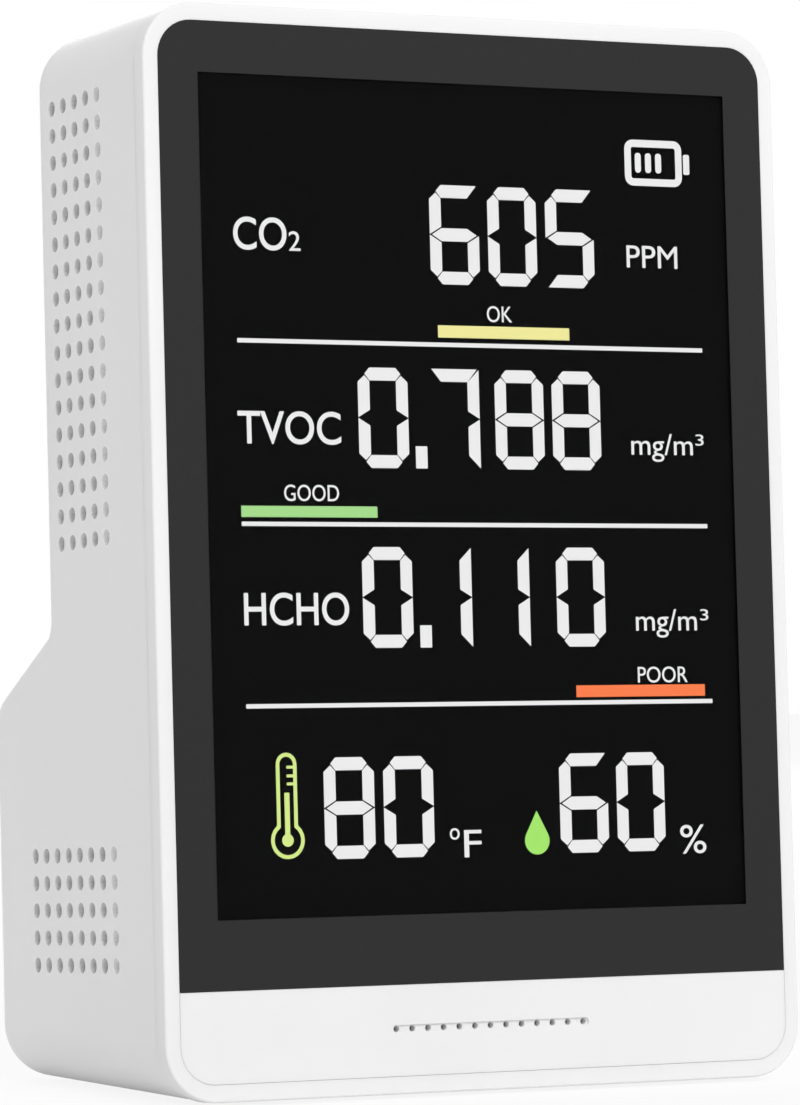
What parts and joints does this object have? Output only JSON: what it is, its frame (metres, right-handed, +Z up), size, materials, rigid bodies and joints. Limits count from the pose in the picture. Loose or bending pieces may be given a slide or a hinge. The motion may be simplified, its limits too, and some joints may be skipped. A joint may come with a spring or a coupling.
{
  "type": "carbon dioxide monitor",
  "caption": "Desk-top air monitor: white case leaning back on feet, deeper foot, side vents, dark lens over a segment display, three push keys behind.",
  "frame": {"origin": "centre of the footprint on the surface that the feet stand on", "axes": "+Z up, -Y towards the viewer of the display, +X to the viewer's right"},
  "size_m": [0.1, 0.0622, 0.1509],
  "materials": {
    "white_case": "fine matte moulded",
    "white_inner": "moulded",
    "white_key": "matte moulded",
    "clear_lens": "clear polished acrylic",
    "black_print": "screen printed",
    "black_foam": "adhesive foam tape",
    "dark_film": "polarising film",
    "cell_glass": "thin flat glass",
    "milky_film": "milky optical plastic",
    "flex": "white flexible circuit",
    "soft_contact": "striped silicone",
    "circuit_board": "solder mask over glass fibre",
    "screw_steel": "zinc plated",
    "chip_black": "moulded epoxy",
    "sensor_metal": "gold flashed",
    "membrane": "porous white film",
    "cell_wrap": "shrink sleeve",
    "lead_skin": "soft insulation",
    "plated_steel": "nickel plated",
    "foot_rubber": "soft moulded"
  },
  "bodies": {
    "case": {"rear_housing": "white_case", "front_frame": "white_case", "lower_strip": "white_case", "lens": "clear_lens", "lens_border_print": "black_print", "lens_tape": "black_foam", "front_polariser": "dark_film", "lcd_front_glass": "cell_glass", "lcd_rear_glass": "cell_glass", "diffuser_film": "milky_film", "light_guide": "milky_film", "reflector_sheet": "milky_film", "backlight_lamps": "milky_film", "lamp_strip": "flex", "backlight_tray": "white_inner", "contact_strip": "soft_contact", "main_board": "circuit_board", "key_board": "circuit_board", "charge_board": "circuit_board", "co2_sensor_board": "circuit_board", "hcho_sensor_board": "circuit_board", "battery_guard_board": "circuit_board", "board_screws": "screw_steel", "case_screws": "screw_steel", "charge_board_screws": "screw_steel", "key_board_screws": "screw_steel", "controller_chip": "chip_black", "charger_chip": "chip_black", "buzzer": "chip_black", "tvoc_sensor": "sensor_metal", "climate_sensor": "chip_black", "co2_header": "chip_black", "hcho_header": "chip_black", "co2_chamber": "sensor_metal", "co2_membrane": "membrane", "co2_lamp": "sensor_metal", "co2_detector": "sensor_metal", "hcho_cell": "chip_black", "hcho_membrane": "membrane", "battery_cell": "cell_wrap", "battery_cradle": "white_inner", "battery_strap": "black_foam", "battery_socket": "white_inner", "battery_plug": "white_inner", "battery_leads": "lead_skin", "usb_shell": "plated_steel", "usb_tongue": "chip_black", "charge_sockets": "white_inner", "board_charge_socket": "white_inner", "charge_ribbon": "lead_skin", "key_switches": "plated_steel", "key_ribbon": "lead_skin", "rubber_feet": "foot_rubber"},
    "power_key": {"power_button": "white_key", "power_plunger": "chip_black"},
    "mode_key": {"mode_button": "white_key", "mode_plunger": "chip_black"},
    "set_key": {"set_button": "white_key", "set_plunger": "chip_black"}
  },
  "joints": [
    {"name": "power_press", "type": "slide", "parent": "case", "child": "power_key", "axis": [0, -0.999, 0.0454], "range_m": [0, 0.0004], "stiffness_N_per_m": 400, "springref_m": -0.0003},
    {"name": "mode_press", "type": "slide", "parent": "case", "child": "mode_key", "axis": [0, -0.999, 0.0454], "range_m": [0, 0.0004], "stiffness_N_per_m": 400, "springref_m": -0.0003},
    {"name": "set_press", "type": "slide", "parent": "case", "child": "set_key", "axis": [0, -0.999, 0.0454], "range_m": [0, 0.0004], "stiffness_N_per_m": 400, "springref_m": -0.0003}
  ]
}
